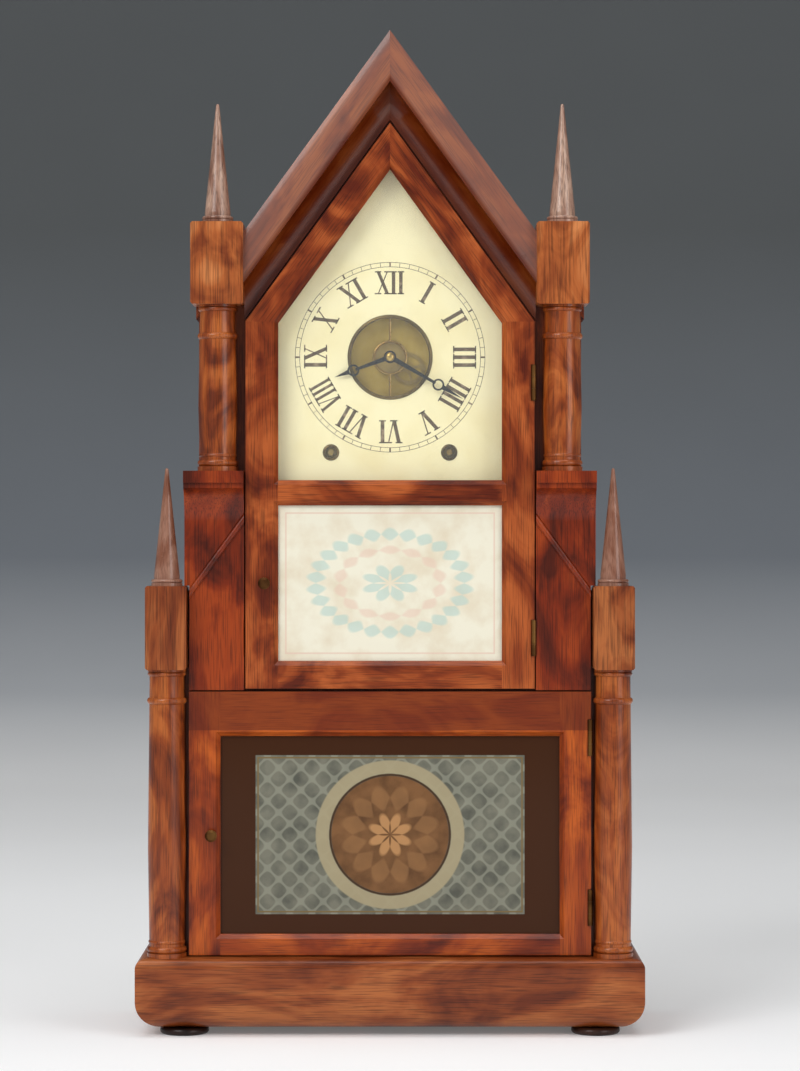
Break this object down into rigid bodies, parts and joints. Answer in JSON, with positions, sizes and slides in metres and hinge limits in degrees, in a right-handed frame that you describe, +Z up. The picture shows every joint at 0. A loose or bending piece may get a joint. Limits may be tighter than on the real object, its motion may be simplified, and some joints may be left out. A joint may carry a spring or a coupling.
{
  "type": "wagon spring clock",
  "caption": "Gothic mahogany shelf clock with turned steeples, two doors, a painted dial, and a leaf spring whose levers and cords drive the wheels.",
  "frame": {"origin": "on the floor, under the middle of the base", "axes": "+X to the viewer's right, -Y out of the front, +Z up"},
  "size_m": [0.34, 0.127, 0.673],
  "materials": {
    "mahogany": "gloss",
    "light_mahogany": "gloss",
    "dark_mahogany": "satin",
    "pine": "matte",
    "dial_enamel": "satin",
    "clear_glass": "gloss",
    "painted_glass": "gloss",
    "brass": "satin",
    "blued_steel": "satin",
    "forged_iron": "matte",
    "cord": "matte"
  },
  "bodies": {
    "case": {"base_moulding": "mahogany", "bun_feet": "dark_mahogany", "bottom_board": "pine", "lower_case_sides": "mahogany", "lower_face_frame": "mahogany", "shoulder_boards": "mahogany", "upper_case_sides": "mahogany", "roof_boards": "mahogany", "upper_face_frame": "mahogany", "gable_moulding": "light_mahogany", "lower_backboard": "pine", "upper_backboard": "pine", "shoulder_panels": "mahogany", "column_corbels": "dark_mahogany", "lower_columns": "light_mahogany", "upper_columns": "light_mahogany", "lower_capitals": "light_mahogany", "upper_capitals": "light_mahogany", "steeples": "mahogany", "dial_plate": "dial_enamel", "dial_rails": "pine", "case_hinge_leaves": "brass", "spring_bracket": "forged_iron", "spring_leaves": "blued_steel", "lever_brackets": "forged_iron", "front_plate": "brass", "back_plate": "brass", "movement_posts": "pine", "gong_coil": "blued_steel", "gong_block": "forged_iron"},
    "upper_door": {"upper_door_frame": "mahogany", "upper_door_hinge_leaves": "brass", "dial_glass": "clear_glass", "middle_tablet": "painted_glass"},
    "upper_catch": {"upper_door_catch": "brass"},
    "lower_door": {"lower_door_frame": "mahogany", "lower_door_hinge_leaves": "brass", "lower_tablet": "painted_glass"},
    "lower_catch": {"lower_door_catch": "brass"},
    "time_drum": {"time_drum": "brass"},
    "strike_drum": {"strike_drum": "brass"},
    "time_cord": {"time_cord": "cord"},
    "strike_cord": {"strike_cord": "cord"},
    "time_lever": {"time_lever": "forged_iron"},
    "strike_lever": {"strike_lever": "forged_iron"},
    "time_main_wheel": {"time_main_wheel": "brass"},
    "second_wheel": {"second_wheel": "brass"},
    "center_wheel": {"center_wheel": "brass"},
    "third_wheel": {"third_wheel": "brass"},
    "escape_wheel": {"escape_wheel": "brass"},
    "verge": {"verge": "blued_steel"},
    "pendulum": {"pendulum": "brass"},
    "strike_main_wheel": {"strike_main_wheel": "brass"},
    "pin_wheel": {"pin_wheel": "brass"},
    "warning_wheel": {"warning_wheel": "brass"},
    "fly": {"fly": "brass"},
    "hammer": {"hammer": "blued_steel"},
    "hour_hand": {"hour_hand": "blued_steel"},
    "minute_hand": {"minute_hand": "blued_steel"},
    "minute_wheel": {"minute_wheel": "brass"}
  },
  "joints": [
    {"name": "upper_door_swing", "type": "hinge", "parent": "case", "child": "upper_door", "pos_m": [0.0965, -0.0465, 0.352], "axis": [0, 0, 1], "range_deg": [0, 90]},
    {"name": "upper_catch_turn", "type": "hinge", "parent": "upper_door", "child": "upper_catch", "pos_m": [-0.0845, -0.04, 0.30275], "axis": [0, -1, 0], "range_deg": [0, 90]},
    {"name": "lower_door_swing", "type": "hinge", "parent": "case", "child": "lower_door", "pos_m": [0.1345, -0.0465, 0.1415], "axis": [0, 0, 1], "range_deg": [0, 90]},
    {"name": "lower_catch_turn", "type": "hinge", "parent": "lower_door", "child": "lower_catch", "pos_m": [-0.12, -0.04, 0.1335], "axis": [0, -1, 0], "range_deg": [0, 90]},
    {"name": "time_drum_turn", "type": "hinge", "parent": "case", "child": "time_drum", "pos_m": [0.04, 0.008, 0.391], "axis": [0, 1, 0], "range_deg": [0, 265], "deforming": ["spring_leaves"]},
    {"name": "strike_drum_turn", "type": "hinge", "parent": "case", "child": "strike_drum", "pos_m": [-0.04, 0.008, 0.391], "axis": [0, -1, 0], "range_deg": [0, 265]},
    {"name": "time_cord_run", "type": "slide", "parent": "case", "child": "time_cord", "axis": [0, 0, -1], "range_m": [0, 0.0465]},
    {"name": "strike_cord_run", "type": "slide", "parent": "case", "child": "strike_cord", "axis": [0, 0, -1], "range_m": [0, 0.0465]},
    {"name": "time_lever_swing", "type": "hinge", "parent": "case", "child": "time_lever", "pos_m": [0.13, 0.008, 0.134], "axis": [0, -1, 0], "range_deg": [0, 34]},
    {"name": "strike_lever_swing", "type": "hinge", "parent": "case", "child": "strike_lever", "pos_m": [-0.13, 0.008, 0.134], "axis": [0, 1, 0], "range_deg": [0, 34]},
    {"name": "center_wheel_turn", "type": "hinge", "parent": "case", "child": "center_wheel", "pos_m": [0, 0, 0.4554], "axis": [0, 1, 0], "continuous": true},
    {"name": "time_main_wheel_turn", "type": "hinge", "parent": "case", "child": "time_main_wheel", "pos_m": [0.04, -0.01, 0.391], "axis": [0, 1, 0], "continuous": true},
    {"name": "second_wheel_turn", "type": "hinge", "parent": "case", "child": "second_wheel", "pos_m": [0.02181, 0, 0.42669], "axis": [0, 1, 0], "continuous": true},
    {"name": "third_wheel_turn", "type": "hinge", "parent": "case", "child": "third_wheel", "pos_m": [0.01109, 0, 0.47919], "axis": [0, 1, 0], "continuous": true},
    {"name": "escape_wheel_turn", "type": "hinge", "parent": "case", "child": "escape_wheel", "pos_m": [0, 0, 0.49979], "axis": [0, 1, 0], "continuous": true},
    {"name": "minute_hand_turn", "type": "hinge", "parent": "case", "child": "minute_hand", "pos_m": [0, -0.025, 0.4554], "axis": [0, 1, 0], "continuous": true},
    {"name": "minute_wheel_turn", "type": "hinge", "parent": "case", "child": "minute_wheel", "pos_m": [0.01247, -0.019, 0.4482], "axis": [0, 1, 0], "continuous": true},
    {"name": "hour_hand_turn", "type": "hinge", "parent": "case", "child": "hour_hand", "pos_m": [0, -0.025, 0.4554], "axis": [0, 1, 0], "continuous": true},
    {"name": "pendulum_swing", "type": "hinge", "parent": "case", "child": "pendulum", "pos_m": [0, -0.0242, 0.52099], "axis": [0, 1, 0], "range_deg": [-4, 4]},
    {"name": "verge_rock", "type": "hinge", "parent": "case", "child": "verge", "pos_m": [0, 0, 0.52099], "axis": [0, 1, 0], "range_deg": [-4, 4]},
    {"name": "pin_wheel_turn", "type": "hinge", "parent": "case", "child": "pin_wheel", "pos_m": [-0.02181, 0, 0.42669], "axis": [0, 1, 0], "continuous": true},
    {"name": "strike_main_wheel_turn", "type": "hinge", "parent": "case", "child": "strike_main_wheel", "pos_m": [-0.04, -0.01, 0.391], "axis": [0, 1, 0], "continuous": true},
    {"name": "warning_wheel_turn", "type": "hinge", "parent": "case", "child": "warning_wheel", "pos_m": [-0.036, 0, 0.44696], "axis": [0, 1, 0], "continuous": true},
    {"name": "fly_spin", "type": "hinge", "parent": "case", "child": "fly", "pos_m": [-0.03913, 0, 0.46469], "axis": [0, 1, 0], "continuous": true},
    {"name": "hammer_lift", "type": "hinge", "parent": "case", "child": "hammer", "pos_m": [0, 0.01, 0.361], "axis": [0, -1, 0], "range_deg": [0, 12]}
  ],
  "couplings": [
    {"joint": "time_cord_run", "follows": "time_drum_turn", "m_per_rad": 0.01},
    {"joint": "time_lever_swing", "follows": "time_drum_turn", "ratio": 0.128},
    {"joint": "strike_cord_run", "follows": "strike_drum_turn", "m_per_rad": 0.01},
    {"joint": "strike_lever_swing", "follows": "strike_drum_turn", "ratio": 0.128},
    {"joint": "time_main_wheel_turn", "follows": "center_wheel_turn", "ratio": 0.022222},
    {"joint": "second_wheel_turn", "follows": "center_wheel_turn", "ratio": -0.2},
    {"joint": "third_wheel_turn", "follows": "center_wheel_turn", "ratio": -10.667},
    {"joint": "escape_wheel_turn", "follows": "center_wheel_turn", "ratio": 128},
    {"joint": "minute_hand_turn", "follows": "center_wheel_turn", "ratio": 1},
    {"joint": "minute_wheel_turn", "follows": "center_wheel_turn", "ratio": -0.33333},
    {"joint": "hour_hand_turn", "follows": "center_wheel_turn", "ratio": 0.083333},
    {"joint": "verge_rock", "follows": "pendulum_swing", "ratio": 1},
    {"joint": "strike_main_wheel_turn", "follows": "pin_wheel_turn", "ratio": -0.11111},
    {"joint": "warning_wheel_turn", "follows": "pin_wheel_turn", "ratio": -10},
    {"joint": "fly_spin", "follows": "pin_wheel_turn", "ratio": 90}
  ]
}
